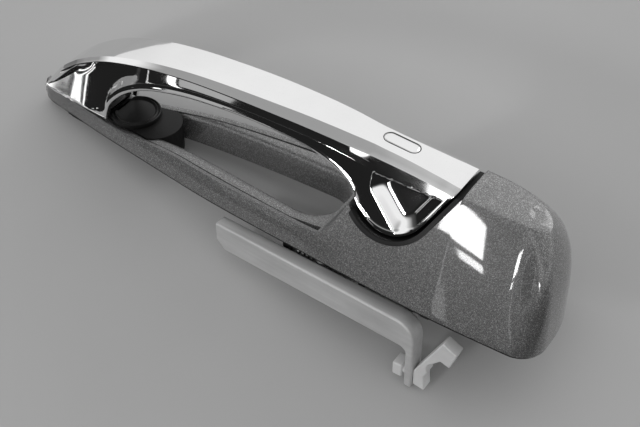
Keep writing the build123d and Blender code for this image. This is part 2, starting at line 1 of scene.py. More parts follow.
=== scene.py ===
# %% [markdown]
# # A pull-strap door handle
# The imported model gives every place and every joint.  This script keeps the CAD nodes whose shape
# is already right, gives them finishes, and replaces the show surfaces with finer ones: the chrome
# strap, the painted bezel, the release bar, the spring and the nylon clip.

# %% Load the frame
import json
import bpy
import numpy as np
from mathutils import Matrix


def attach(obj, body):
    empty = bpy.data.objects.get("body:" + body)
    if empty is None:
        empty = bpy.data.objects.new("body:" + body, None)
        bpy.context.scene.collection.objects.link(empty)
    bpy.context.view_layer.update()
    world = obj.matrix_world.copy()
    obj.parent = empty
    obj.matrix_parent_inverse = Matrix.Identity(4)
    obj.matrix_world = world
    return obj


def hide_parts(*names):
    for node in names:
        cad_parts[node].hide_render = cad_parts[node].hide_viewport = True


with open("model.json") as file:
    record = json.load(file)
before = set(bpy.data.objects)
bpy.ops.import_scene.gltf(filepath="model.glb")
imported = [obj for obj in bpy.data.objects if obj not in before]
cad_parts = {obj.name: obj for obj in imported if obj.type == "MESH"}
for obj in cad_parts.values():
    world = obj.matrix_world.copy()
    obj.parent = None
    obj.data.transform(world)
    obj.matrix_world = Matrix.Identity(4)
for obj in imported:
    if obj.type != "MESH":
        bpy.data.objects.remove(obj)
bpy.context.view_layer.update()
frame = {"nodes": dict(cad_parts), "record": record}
MM = 0.001

# %% [markdown]
# ## Camera
# The camera stands at the handle's lever side, a little towards the capped end, looking down.  Its
# place could be set by eye in the viewport.  Here the turn, the height and the distance are written
# as numbers, because then the whole view can be worked out again.

# %% Camera
YAW, ELEVATION = np.radians(33.5), np.radians(41.5)
CAMERA_AT = np.array([252.0, -351.0, 370.0]) * MM
FOCAL_OVER_WIDTH = 1300 / 640
SENSOR = 36.0


def make_camera():
    """A camera whose right, up and back directions follow from a turn about Z and a height."""
    right = np.array([np.cos(YAW), np.sin(YAW), 0.0])
    level = np.array([np.sin(YAW), -np.cos(YAW), 0.0])
    back = level * np.cos(ELEVATION) + np.array([0, 0, np.sin(ELEVATION)])
    up = np.cross(back, right)
    data = bpy.data.cameras.new("studio_camera")
    data.sensor_width = SENSOR
    data.lens = SENSOR * FOCAL_OVER_WIDTH
    data.clip_start = 0.01
    camera = bpy.data.objects.new("studio_camera", data)
    bpy.context.scene.collection.objects.link(camera)
    matrix = np.eye(4)
    matrix[:3, :4] = np.column_stack([right, up, back, CAMERA_AT])
    camera.matrix_world = Matrix(matrix.tolist())
    bpy.context.scene.camera = camera
    print("lens", round(data.lens, 1), "mm")


make_camera()

# %% [markdown]
# ## Shader maths as Python
# A node tree is easier to read as an expression.  `Signal` wraps an output socket, so `a * 2 + b`
# adds the Math nodes, and `Tree.node` makes any other node from its type, settings and inputs.

# %% Node helpers
class Signal:
    """A number carried by a socket, with arithmetic that adds Math nodes."""

    def __init__(self, tree, socket):
        self.tree, self.socket = tree, socket

    def math(self, operation, *others):
        return self.tree.node("ShaderNodeMath", {"operation": operation}, dict(enumerate((self, *others))))

    def __add__(self, other):
        return self.math("ADD", other)

    def __sub__(self, other):
        return self.math("SUBTRACT", other)

    def __mul__(self, other):
        return self.math("MULTIPLY", other)

    def __pow__(self, other):
        return self.math("POWER", other)

    def __gt__(self, other):
        return self.math("GREATER_THAN", other)

    def __rsub__(self, other):
        return (self * -1) + other

    __radd__, __rmul__ = __add__, __mul__


class Tree:
    """A material with a Principled shader and short ways to add nodes to it."""

    def __init__(self, name, **fixed):
        self.material = bpy.data.materials.new(name)
        self.material.use_nodes = True
        self.nodes = self.material.node_tree.nodes
        self.shader = self.nodes["Principled BSDF"]
        for key, value in fixed.items():
            self.put(self.shader.inputs[key.replace("_", " ")], value)
        self.place = self.node("ShaderNodeTexCoord", out="Object")

    def put(self, socket, value):
        if isinstance(value, Signal):
            self.material.node_tree.links.new(value.socket, socket)
        elif hasattr(socket.default_value, "__len__") and not hasattr(value, "__len__"):
            socket.default_value = (value, value, value, 1)[:len(socket.default_value)]
        else:
            socket.default_value = value

    def node(self, kind, settings=None, inputs=None, out=0):
        made = self.nodes.new(kind)
        for key, value in (settings or {}).items():
            setattr(made, key, value)
        for key, value in (inputs or {}).items():
            self.put(made.inputs[key], value)
        return Signal(self, made.outputs[out])

    def stretched(self, scale):
        """Object coordinates stretched by a scale on each axis."""
        return self.node("ShaderNodeMapping", None, {"Vector": self.place, "Scale": scale})

    def noise(self, scale, detail=3.0, where=None):
        """Soft cloudy noise from 0 to 1, in features per metre."""
        return self.node("ShaderNodeTexNoise", None,
                         {"Vector": where or self.place, "Scale": scale, "Detail": detail})

    def cells(self, scale):
        """A random number from 0 to 1 for each small cell."""
        colour = self.node("ShaderNodeTexVoronoi", None, {"Vector": self.place, "Scale": scale}, out="Color")
        return self.node("ShaderNodeSeparateColor", None, {"Color": colour})

    def between(self, factor, low, high):
        """Mixes two greys, or two colours, by a factor."""
        mix = self.nodes.new("ShaderNodeMix")
        mix.data_type = "RGBA"
        self.put(mix.inputs["Factor"], factor)
        for socket, value in ((mix.inputs[6], low), (mix.inputs[7], high)):
            self.put(socket, value)
        return Signal(self, mix.outputs[2])

    def bump(self, height, strength, distance):
        return self.node("ShaderNodeBump", None,
                         {"Height": height, "Strength": strength, "Distance": distance})

    def set(self, **links):
        for key, value in links.items():
            self.put(self.shader.inputs[key.replace("_", " ")], value)
        return self.material


print("node helpers ready")

# %% [markdown]
# ## The finishes
# Polished chrome is nearly a mirror, so it shows the room, and a faint haze of wiping marks keeps
# it real.  The paint is a dark base with bright aluminium flakes under a clear coat: each flake is
# one cell of a Voronoi pattern.  The release bar is bare cast metal with scratches along it.

# %% Chrome
def chrome_finish():
    """Nearly a mirror: a metal of low roughness, which a haze times fine wiping marks raises."""
    tree = Tree("chrome", Metallic=1.0)
    haze = tree.noise(60, 4.0)
    wipes = tree.noise(900, 2.0, tree.stretched((0.08, 1, 1)))
    return tree.set(
        Base_Color=tree.between(haze, 0.80, 0.88),
        Roughness=0.03 + 0.05 * (haze * wipes),
    )


# %% Metallic paint
def paint_finish():
    """A dark base that brightens by high powers of two random cell numbers, under a clear coat."""
    tree = Tree("metallic_paint", Coat_Weight=1.0, Coat_Roughness=0.04, IOR=1.5)
    flake = tree.cells(4600)
    bright = flake ** 4.0
    fine = tree.cells(9000) ** 3.0
    cloud = tree.noise(18, 2.0)
    return tree.set(
        Base_Color=tree.between(bright * 0.75 + fine * 0.25, 0.085, 0.56),
        Metallic=0.25 + 0.2 * cloud,
        Roughness=0.42 + 0.12 * flake,
        Normal=tree.bump(flake, 0.2, 0.00004),
    )


# %% Cast and brushed metals
def cast_finish(name, dark, light, rough, metallic=1.0):
    """Bare metal: cloudy tone, pits, and scratches that run along X."""
    tree = Tree(name, Metallic=metallic)
    cloud = tree.noise(45, 5.0)
    scratch = tree.noise(420, 6.0, tree.stretched((0.03, 1, 1)))
    pits = tree.noise(1500, 2.0)
    tone = cloud * 0.5 + scratch * 0.5
    return tree.set(
        Base_Color=tree.between(tone, dark, light),
        Roughness=rough + 0.25 * scratch - 0.05,
        Normal=tree.bump(scratch * 0.7 + pits * 0.3, 0.35, 0.0002),
    )


# %% Plastics and rubber
def moulded_finish(name, tone, rough, grain, depth):
    """Moulded plastic or rubber: an even tone with a fine grain and slightly worn gloss."""
    tree = Tree(name, Specular_IOR_Level=0.3)
    cloud = tree.noise(70, 4.0)
    texture = tree.noise(grain, 3.0)
    return tree.set(
        Base_Color=tree.between(cloud, tone * 0.8, tone * 1.2),
        Roughness=rough - 0.08 + 0.16 * cloud,
        Normal=tree.bump(texture, depth, 0.0002),
    )


FINISH = {
    "paint": paint_finish(),
    "chrome": chrome_finish(),
    "zinc": cast_finish("cast_zinc", 0.46, 0.92, 0.42, 0.3),
    "steel": cast_finish("plated_steel", 0.38, 0.62, 0.26),
    "spring_steel": cast_finish("drawn_wire", 0.30, 0.60, 0.22),
    "black_plastic": moulded_finish("black_plastic", 0.005, 0.50, 2200, 0.15),
    "seal_rubber": moulded_finish("seal_rubber", 0.005, 0.45, 3000, 0.10),
    "grey_plastic": moulded_finish("grey_plastic", 0.22, 0.40, 2500, 0.12),
    "nylon": moulded_finish("nylon", 0.84, 0.38, 1600, 0.10),
}
SLOT_OF = {row["node"]: row["material_slot"] for row in frame["record"]["subparts"]}
for node, obj in frame["nodes"].items():
    obj.data.materials.clear()
    obj.data.materials.append(FINISH[SLOT_OF[node]])
print("finishes:", sorted(FINISH))

# %% [markdown]
# ## Surfaces from arrays
# Every new piece is a grid of points, computed at once with numpy.  `smooth` draws a soft line
# through a few stations, and `mesh_piece` turns points and faces into a finished object.

# %% Grid helpers
def smooth(knots, values, at):
    """Cubic Hermite line through the stations: each slope is the mean of its two neighbours' slopes."""
    knots, values, at = (np.asarray(a, float) for a in (knots, values, at))
    slope = np.gradient(values, knots, axis=0)
    i = np.clip(np.searchsorted(knots, at, side="right") - 1, 0, len(knots) - 2)
    width = knots[i + 1] - knots[i]
    t = np.clip((at - knots[i]) / width, 0, 1)
    if values.ndim > 1:
        t, width = t[..., None], width[..., None]
    h00, h10 = 2 * t**3 - 3 * t**2 + 1, t**3 - 2 * t**2 + t
    h01, h11 = -2 * t**3 + 3 * t**2, t**3 - t**2
    return h00 * values[i] + h10 * width * slope[i] + h01 * values[i + 1] + h11 * width * slope[i + 1]


def quads(rows, columns, close_rows=False, close_columns=False):
    """Corner numbers of the quads of a grid, with either direction closed on itself."""
    r = np.arange(rows if close_rows else rows - 1)
    c = np.arange(columns if close_columns else columns - 1)
    r, c = np.meshgrid(r, c, indexing="ij")
    r2, c2 = (r + 1) % rows, (c + 1) % columns
    corners = [r * columns + c, r * columns + c2, r2 * columns + c2, r2 * columns + c]
    return np.stack(corners, -1).reshape(-1, 4)


def mesh_piece(name, points, faces, finish, body, replaces=(), merge=0.00002, sharp=40.0):
    """A mesh object from points in millimetres and a list of faces, merged and facing outwards."""
    mesh = bpy.data.meshes.new(name)
    mesh.from_pydata((np.asarray(points) * MM).tolist(), [], [list(map(int, f)) for f in faces])
    obj = bpy.data.objects.new(name, mesh)
    bpy.context.scene.collection.objects.link(obj)
    bpy.ops.object.select_all(action="DESELECT")
    bpy.context.view_layer.objects.active = obj
    obj.select_set(True)
    bpy.ops.object.mode_set(mode="EDIT")
    bpy.ops.mesh.select_all(action="SELECT")
    bpy.ops.mesh.remove_doubles(threshold=merge)
    bpy.ops.mesh.dissolve_degenerate(threshold=merge)
    bpy.ops.mesh.normals_make_consistent(inside=False)
    bpy.ops.object.mode_set(mode="OBJECT")
    bpy.ops.object.shade_smooth_by_angle(angle=np.radians(sharp))
    obj.data.materials.append(FINISH[finish])
    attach(obj, body)
    if replaces:
        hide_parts(*replaces)
    print(name, len(mesh.vertices), "vertices")
    return obj


print("grid helpers ready")

# %% [markdown]
# ## The chrome strap
# The strap is a bent bar whose section changes all along: a flat outer face, a narrow bevel, a
# scooped side and a polished lip.  A sweep of one section can't do that, so the side view is drawn
# first as two lines, the outer face and the finger side.  Each rib of the grid joins them, and the
# columns sit at distances in millimetres from either line, so bevel and lip keep their widths.

# %% Strap side view
STRAP_LOW = np.array([
    (-131.0, 10.2), (-118.0, 10.2), (-104.0, 10.2), (-93.0, 10.2), (-89.0, 10.2),
    (-86.5, 18.6), (-80.4, 25.7), (-73.9, 30.8), (-64.7, 35.6), (-53.0, 39.2), (-36.0, 42.2),
    (-10.0, 43.8), (15.0, 43.0), (30.0, 40.4), (40.0, 36.6), (45.4, 33.0), (46.9, 29.4)])
STRAP_HIGH = np.array([
    (-131.0, 10.3), (-127.2, 14.6), (-118.0, 25.2), (-108.5, 32.8), (-104.0, 35.7),
    (-98.0, 39.0), (-90.0, 42.8), (-81.5, 45.8), (-69.0, 49.0), (-55.0, 51.6), (-36.0, 53.7),
    (-10.0, 54.9), (15.0, 55.0), (31.0, 54.4), (41.0, 53.6), (47.0, 53.1), (50.0, 52.9),
    (54.0, 52.5), (60.0, 52.0), (67.0, 51.4), (74.0, 50.7), (79.5, 50.1), (83.5, 49.7), (86.5, 49.3),
    (88.95, 49.05)])
FOOT_CENTRE, FOOT_R = np.array([62.0, 42.0]), 19.6
FOOT_ANGLES = np.radians([-35.0, -10.0, 15.0, 40.0, 59.0])
FOOT_ARC = FOOT_CENTRE + FOOT_R * np.stack([np.sin(FOOT_ANGLES), -np.cos(FOOT_ANGLES)], 1)
FOOT_EDGE = np.array([(82.5, 38.1), (86.0, 44.0), (88.85, 48.75)])
STRAP_LOW = np.concatenate([STRAP_LOW, FOOT_ARC, FOOT_EDGE])
CORNERS = [0, 4, 16, len(STRAP_LOW) - 1]
# station: half-width of the side at z = 60 and at z = 0
SIDE_X = [-135.0, -115.0, -95.0, -70.0, -30.0, 10.0, 35.0, 50.0, 65.0, 95.0]
SIDE_TOP = [5.0, 7.6, 9.6, 10.6, 11.0, 10.6, 8.8, 6.4, 5.4, 5.0]
SIDE_LOW = [6.6, 9.6, 12.0, 13.4, 13.6, 14.8, 20.5, 27.0, 29.6, 30.4]
SIDE_Z = 60.0


def side_width(x, z):
    """Half-width of the strap: straight from its value at z = 0 to that at z = 60, smooth along X."""
    top, low = smooth(SIDE_X, SIDE_TOP, x), smooth(SIDE_X, SIDE_LOW, x)
    return low + (top - low) * z / SIDE_Z


def along_strap(per_knot):
    """Both lines of the side view at even steps between the knots, and the knot number of each step."""
    steps = np.linspace(0, len(STRAP_LOW) - 1, (len(STRAP_LOW) - 1) * per_knot + 1)
    low = np.zeros((len(steps), 2))
    for a, b in zip(CORNERS[:-1], CORNERS[1:]):
        inside = (steps >= a) & (steps <= b)
        low[inside] = smooth(np.arange(a, b + 1), STRAP_LOW[a:b + 1], steps[inside])
    return steps, low, smooth(np.arange(len(STRAP_HIGH)), STRAP_HIGH, steps)


# %% Strap section
KNOT = np.arange(len(STRAP_LOW))
# millimetres at each knot
BEVEL_DROP = [0.2, 0.9, 1.3, 1.4, 1.4, 1.4, 1.4, 1.5, 1.6, 1.8, 2.1, 2.6, 3.0,
              3.1, 3.1, 3.0, 2.9, 2.8, 2.7, 2.6, 2.5, 2.5, 2.4, 2.4, 2.4]
BEVEL_IN = [0.3, 1.2, 1.6, 1.7, 1.8, 1.9, 2.0, 2.1, 2.3, 2.5, 2.8, 3.0, 3.2,
            3.2, 3.1, 3.0, 2.9, 2.8, 2.8, 2.7, 2.6, 2.6, 2.5, 2.5, 2.5]
STRIP = [0.1, 0.3, 0.4, 0.4, 0.4, 0.4, 0.4, 0.4, 0.5, 0.5, 0.5, 0.6, 0.7,
         1.2, 1.9, 2.2, 2.4, 2.5, 2.6, 2.6, 2.6, 2.4, 2.0, 1.2, 0.1]
LIP = [0.2, 1.1, 1.3, 1.4, 1.6, 2.9, 3.3, 3.6, 4.0, 4.3, 4.6, 4.5, 5.0,
       6.8, 9.6, 12.6, 15.6, 19.0, 22.0, 21.0, 16.8, 12.6, 8.0, 3.6, 0.2]
SCOOP_DEGREES = [24.0] * 8 + [22.0, 20.0, 18.0, 17.0, 15.0, 11.0, 7.0, 4.0, 2.0] + [0.0] * 8
SCOOP_TILT = np.tan(np.radians(SCOOP_DEGREES))
SCOOP_DEEPEST = [8.0] * 6 + [7.4, 6.4] + [5.4] * 17
LIP_RIM = 2.8
# foot line of the scoop's slanting floor at the nose: x and z; it has no corner, unlike the lip
FLOOR_X = [-135.0, -115.0, -100.0, -92.0, -84.0, -75.0, -65.0, -50.0, -30.0]
FLOOR_Z = [9.0, 9.6, 11.5, 14.5, 20.5, 28.0, 35.0, 41.5, 46.0]
FLOOR_TILT = 0.42
DISH_TOP_Z, DISH_LEFT_X = 44.2, 52.6
DISH_EDGE = np.array([(52.8, 37.5), (66.5, 26.0)])      # lower left edge of the dish
DISH_DEEPEST = 2.8
CROWN_R = 420.0
COVER_W = 9.4


def dish_depth(x, z):
    """Depth of the dished panel on the foot, which has an even floor and steep sides.

    It is a softened least of the distances to the panel's edges, each times its own steepness.
    """
    along = DISH_EDGE[1] - DISH_EDGE[0]
    along = along / np.linalg.norm(along)
    from_edge = (z - DISH_EDGE[0, 1]) * along[0] - (x - DISH_EDGE[0, 0]) * along[1]
    dx, dz = x - FOOT_CENTRE[0], FOOT_CENTRE[1] - z
    lean = np.radians(59.0)
    from_slant = FOOT_R - dx * np.sin(lean) - dz * np.cos(lean)
    from_foot = np.where(np.arctan2(dx, dz) < lean, FOOT_R - np.hypot(dx, dz), from_slant) - 1.9
    edges = np.stack([1.4 * (DISH_TOP_Z - z), 0.6 * (x - DISH_LEFT_X), 0.6 * from_edge,
                      0.7 * from_foot, DISH_DEEPEST + 0 * x])
    soft = -np.log(np.exp(-2.5 * np.clip(edges, -4, 12)).sum(0)) / 2.5
    return np.maximum(soft, 0)


def nose_floor(x, z, u, scoop):
    """Depth of the scoop at the nose: a slanting plane that starts at its foot line.

    It is no deeper than a limit that grows along X, and than its walls, which rise steeply from both
    edges of the scoop.
    """
    plane = FLOOR_TILT * np.maximum(z - smooth(FLOOR_X, FLOOR_Z, x), 0)
    walls = scoop * np.minimum(4.0 * u, 1.5 * (1 - u))
    return np.minimum(np.minimum(plane, 0.16 * x + 26.0), walls)


def strap_columns(steps, low, high):
    """Columns of the near half, from the top centre to the lip's rim.

    Each is a half-width on the flat top, or a distance down the rib and an inset from the side
    surface.  Down a rib come the bevel, a flat strip, the scoop and the lip.
    """
    at = lambda table: smooth(KNOT, table, steps)
    rib = low - high
    length = np.linalg.norm(rib, axis=1)
    squeeze = np.clip(length / 9.0, 0.02, 1.0)
    drop, inward = at(BEVEL_DROP), at(BEVEL_IN)
    strip, lip = at(STRIP) * squeeze, at(LIP) * squeeze
    lip = np.maximum(np.minimum(lip, length - drop - strip - 0.25 * squeeze), 0.02)
    top = drop + strip
    scoop = np.maximum(length - top - lip, 0.05 * squeeze)
    depth = np.minimum(scoop * np.maximum(at(SCOOP_TILT), 0), at(SCOOP_DEEPEST))
    width_top = side_width(high[:, 0], high[:, 1]) - inward

    def cut(d, inset):
        """A column on the side; it stays on the bevel's slope where the rib is too short for more."""
        d = np.minimum(d, length)
        return "side", d, np.maximum(inset, inward * (1 - d / drop))

    columns = [("flat", share * width_top) for share in (0.0, 0.25, 0.5, 0.75, 0.92)]
    for d, share in ((0.0, 1.0), (0.12, 0.86), (0.5, 0.5), (0.9, 0.12), (1.0, 0.0)):
        columns.append(cut(d * drop, share * inward))
    columns += [cut(drop + 0.5 * strip, 0 * drop), cut(top, 0 * drop)]
    for u in (0.03, 0.08, 0.16, 0.3, 0.45, 0.6, 0.75, 0.85, 0.91, 0.945, 0.97, 0.985):
        shape = depth * np.minimum(u / 0.08, 1.0) * (1 - u) ** 0.85
        x, z = (high + rib * ((top + u * scoop) / np.maximum(length, 1e-6))[:, None]).T
        nose = np.clip((-62 - x) / 12, 0, 1)
        nose = nose * nose * (3 - 2 * nose)
        columns.append(cut(top + u * scoop, shape + (nose_floor(x, z, u, scoop) - shape) * nose))
    body = np.maximum(lip - LIP_RIM, 0)
    rim = lip - body
    for u in np.linspace(0, 1, 33):
        columns.append(cut(top + scoop + u * body, 0 * body))
    for u, inset in ((0.12, -0.15), (0.4, -0.25), (0.7, 0.0), (0.88, 0.4), (1.0, 1.2)):
        columns.append(cut(top + scoop + body + u * rim, inset * squeeze))
    return columns, rib / np.maximum(length, 1e-6)[:, None], width_top


def make_strap():
    """The ring of each rib: the near half's columns, the underside, and the same mirrored in Y.

    The top is crowned by a parabola, and a side point's half-width is the side surface less its inset
    and the dish.
    """
    steps, low, high = along_strap(14)
    columns, direction, width_top = strap_columns(steps, low, high)
    rows = []
    for column in columns:
        if column[0] == "flat":
            y = column[1]
            crown = (width_top**2 - y**2) / (2 * CROWN_R)
            rows.append(np.stack([high[:, 0], -y, high[:, 1] + crown], 1))
        else:
            _, d, inset = column
            at = high + direction * d[:, None]
            inset = inset + dish_depth(at[:, 0], at[:, 1])
            rows.append(np.stack([at[:, 0], -(side_width(at[:, 0], at[:, 1]) - inset), at[:, 1]], 1))
    edge = rows[-1]
    inner = np.minimum(COVER_W + 0.2, -edge[:, 1] - 0.5)
    rows.append(np.stack([low[:, 0], -inner, low[:, 1]], 1))
    lift = -direction * np.minimum(1.6, 0.3 * np.linalg.norm(low - high, axis=1))[:, None]
    rows.append(np.stack([low[:, 0] + lift[:, 0], -inner, low[:, 1] + lift[:, 1]], 1))
    rows.append(np.stack([low[:, 0] + lift[:, 0], 0 * inner, low[:, 1] + lift[:, 1]], 1))
    near = np.stack(rows, 1)
    far = near[:, -2:0:-1] * [1, -1, 1]
    ring = np.concatenate([near, far], 1)
    return mesh_piece("strap_shell", ring.reshape(-1, 3), quads(*ring.shape[:2], close_columns=True),
                      "chrome", "strap", ["grip_shell"], sharp=24.0)


make_strap()

# %% Back cover of the strap
def make_back_cover():
    """Finger side of the strap: the arch line carried across, bulging slightly in the middle."""
    steps, low, high = along_strap(9)
    use = (steps >= 5.2) & (steps <= 14.2)
    low, high = low[use], high[use]
    up = (high - low) / np.linalg.norm(high - low, axis=1)[:, None]
    across = np.linspace(-1, 1, 25)
    bulge = 0.5 * (1 - across**4) - 0.35
    outer = low[:, None, :] - up[:, None, :] * bulge[None, :, None]
    inner = low[:, None, :] + up[:, None, :] * (1.3 + 0 * across)[None, :, None]
    both = np.concatenate([outer, inner[:, ::-1]], 1)
    y = np.concatenate([across, across[::-1]]) * COVER_W
    ring = np.stack([both[..., 0], np.broadcast_to(y, both.shape[:2]), both[..., 1]], -1)
    rows, columns = ring.shape[:2]
    ends = [np.arange(columns)[::-1], np.arange(columns) + (rows - 1) * columns]
    faces = list(quads(rows, columns, close_columns=True)) + ends
    return mesh_piece("back_cover", ring.reshape(-1, 3), faces, "grey_plastic", "strap", ["grip_back_cover"])


make_back_cover()

# %% [markdown]
# ## The painted bezel
# One skin runs from the tip along the rail, over the saddle beside the strap's foot, and round the
# end cap.  It is a grid of ribs that climb from the rim: on the rail a rib stops at the crest, on the
# saddle it stops at the socket's edge, and on the cap it goes on over the top.

# %% Bezel outline
RIM_X = [-138.0, -134.0, -128.0, -113.0, -98.0, -63.0, -30.0, 0.0, 26.0, 52.0, 77.0, 100.0, 126.0]
RIM_Y = [0.0, 3.4, 5.2, 8.0, 10.8, 16.2, 21.0, 24.0, 26.0, 28.2, 30.0, 30.8, 30.8]
END_X, END_R, RIM_W = 137.0, 11.0, 30.8
RAIL_H, NOSE_H, LEAN = 12.0, 8.0, 1.8
CAP_W, CAP_X0 = 10.5, 91.5
END_FLAT_Y, SWEEP_X = -14.0, 100.0
CAP_HIGH, CAP_FALL, CROWN = 47.6, 0.045, 0.7
# edge of the cap's top face, at these points of the loop round the cap
LID_AT = [0, 15, 30, 43, 52, 60, 75, 90, 105, 120, 130]
LID = [(91.5, -10.5), (107.5, -10.3), (119.5, -9.5), (124.4, -7.8), (126.0, -5.8), (126.0, -3.6),
       (123.6, 0.8), (118.5, 5.0), (110.5, 8.4), (100.0, 10.2), (91.5, 10.5)]
LID_CENTRE_X = 116.0
SKIN = 2.2
CLIMB = 1 - (1 - np.linspace(0, 1, 40)) ** 1.5     # heights up a rib, closer together near its top
TURN_FROM, TURN_TO = 26, 126                       # points of the loop between which the wall is upright


def rail_height(x):
    """Height of the rail: low under the strap's nose, full beside the opening."""
    t = np.clip((x + 88) / 48, 0, 1)
    return NOSE_H + (RAIL_H - NOSE_H) * t * t * (3 - 2 * t)


def way_in(climb):
    """Share of the way in from the rim to the top face's edge, at a share of the climb: a slight bulge."""
    return climb - 0.065 * np.sin(np.pi * climb)


def socket_edge(x):
    """Upper edge of the skin beside the foot: a steep rise, the round gap, then its slanting side."""
    r = FOOT_R + 2.7
    dx = np.clip(x - FOOT_CENTRE[0], -r + 0.01, r - 0.01)
    round_part = FOOT_CENTRE[1] - np.sqrt(r**2 - dx**2)
    lean = np.radians(59.0)
    slant_x = FOOT_CENTRE[0] + r * np.sin(lean)
    slant = FOOT_CENTRE[1] - r * np.cos(lean) + (x - slant_x) * np.tan(lean)
    gap = np.where(x > slant_x, slant, round_part)
    t = np.clip((x - 33.5) / 11.5, 0, 1)
    rise = np.where(x < 60, RAIL_H + 17.0 * t**1.7, gap)
    return np.minimum(np.minimum(gap, rise), CAP_HIGH)


def bezel_side(x, z):
    """Half-width of the painted skin: the rail's lean, turning into the cap's section."""
    rim = smooth(RIM_X, RIM_Y, np.minimum(x, 126.0))
    rail = rim - LEAN * (z / RAIL_H) ** 2
    cap = rim - (smooth(RIM_X, RIM_Y, np.array([CAP_X0])) - CAP_W) * way_in(np.clip(z / CAP_HIGH, 0, 1))
    t = np.clip((x - 22) / 34, 0, 1)
    t = t * t * (3 - 2 * t)
    return rail + (cap - rail) * t


# %% Bezel skin
def end_loop():
    """Rim of the cap and edge of its top face, point by point: near side, near corner, end, far side."""
    side_x = np.linspace(CAP_X0, END_X - END_R, 31)
    corner = np.linspace(0, np.pi / 2, 27)[1:]
    flat_y = np.linspace(END_R - RIM_W, END_FLAT_Y, 5)[1:]
    sweep = np.linspace(0, np.pi / 2, 61)[1:]
    back_x = np.linspace(SWEEP_X, CAP_X0, 11)[1:]
    rim = np.concatenate([
        np.stack([side_x, -smooth(RIM_X, RIM_Y, side_x)], 1),
        np.stack([END_X - END_R + END_R * np.sin(corner), END_R - RIM_W - END_R * np.cos(corner)], 1),
        np.stack([END_X + 0 * flat_y, flat_y], 1),
        np.stack([SWEEP_X + (END_X - SWEEP_X) * np.cos(sweep),
                  END_FLAT_Y + (RIM_W - END_FLAT_Y) * np.sin(sweep)], 1),
        np.stack([back_x, smooth(RIM_X, RIM_Y, back_x)], 1)])
    edge = smooth(LID_AT, LID, np.arange(len(rim)))
    return rim, edge


def cap_grid():
    """Ribs of the end cap: each climbs from the rim to the top face's edge, then runs in to the middle.

    The wall's sides climb almost straight.  Its end stands upright and turns over near the top: the
    share of the way in is a high power of the height there.
    """
    rim, edge = end_loop()
    count = np.arange(len(rim))
    turned = np.clip(np.minimum((count - TURN_FROM) / 26, (TURN_TO - count) / 50), 0, 1)
    turned = (turned * turned * (3 - 2 * turned))[:, None]
    share = way_in(CLIMB) * (1 - turned) + CLIMB**4.2 * turned
    height = (CAP_HIGH - CAP_FALL * (edge[:, 0] - CAP_X0))[:, None]
    plan = rim[:, None] + (edge - rim)[:, None] * share[..., None]
    wall = np.concatenate([plan, (height * CLIMB)[..., None]], -1)
    inner = np.linspace(0, 1, 14)[1:]
    centre = np.stack([np.minimum(edge[:, 0], LID_CENTRE_X), 0 * count], 1)
    lid = edge[:, None] + (centre - edge)[:, None] * inner[None, :, None]
    top = height + CROWN * (1 - (1 - inner) ** 2)
    return soften(np.concatenate([wall, np.concatenate([lid, top[..., None]], -1)], 1))


def soften(grid, rounds=4):
    """Rounds the crease of the cap: each point moves half-way to the mean of its neighbours on the rib."""
    for _ in range(rounds):
        grid[:, 1:-1] = grid[:, 1:-1] / 2 + (grid[:, :-2] + grid[:, 2:]) / 4
    return grid


def rail_grid():
    """Ribs of the rail and the saddle, from the tip to the cap; they stop at the crest or the socket."""
    x = np.concatenate([-138 + 4 * np.linspace(0, 1, 12) ** 2, np.linspace(-133.5, 30, 110),
                        np.linspace(30.6, 50, 60), np.linspace(50.5, CAP_X0, 70)])
    top = np.where(x < 33.5, rail_height(x), socket_edge(x))
    z = top[:, None] * CLIMB
    side = -np.maximum(bezel_side(x[:, None] + 0 * z, z), 0)
    tip = np.clip((-128 - x) / 10, 0, 1)[:, None] * (z / NOSE_H) ** 2 * 2.0
    return np.stack([x[:, None] + tip, side, z], -1)


def make_bezel_skin():
    """The rail's grid, the same mirrored in Y, and the cap's grid, joined where their ribs coincide."""
    rail = rail_grid()
    points, faces, offset = [], [], 0
    for grid in (rail, rail * [1, -1, 1], cap_grid()):
        points.append(grid.reshape(-1, 3))
        faces.append(quads(*grid.shape[:2]) + offset)
        offset += grid.shape[0] * grid.shape[1]
    obj = mesh_piece("bezel_skin", np.concatenate(points), np.concatenate(faces), "paint", "base",
                     ["bezel_cover"], merge=0.00008, sharp=50.0)
    add_wall(obj, SKIN, -1)
    return obj


def add_wall(obj, thickness, side):
    """Gives a surface its thickness and rounds the wall's edges."""
    wall = obj.modifiers.new("wall", "SOLIDIFY")
    wall.thickness, wall.offset = thickness * MM, side
    edge = obj.modifiers.new("edge", "BEVEL")
    edge.width, edge.segments, edge.limit_method = 0.4 * MM, 3, "ANGLE"
    edge.angle_limit = np.radians(50)


make_bezel_skin()

# %% Tray round the opening
OPEN_R, OPEN_X = 15.0, 18.0
WALL_FOOT_Z = -3.9
OPEN_KNOTS = [-121.0, -92.0, -60.0, -30.0, -3.0, 18.0]
OPEN_NEAR = [4.4, 5.8, 7.8, 9.8, 12.8, 15.0]
OPEN_FAR = [4.4, 7.4, 12.4, 14.4, 15.0, 15.0]


def make_tray():
    """Ledge inside the rail: it runs in from the rail, rounds over the opening's edge and drops to the rim.

    The ledge is wider on the lever's side, where the opening narrows towards the pivot.
    """
    near, far = ledge_half(OPEN_NEAR), ledge_half(OPEN_FAR)
    grid = np.concatenate([near, far[-2::-1] * [1, -1, 1]])
    obj = mesh_piece("bezel_tray", grid.reshape(-1, 3), quads(*grid.shape[:2]), "paint", "base", sharp=50.0)
    add_wall(obj, 1.0, 1)
    return obj


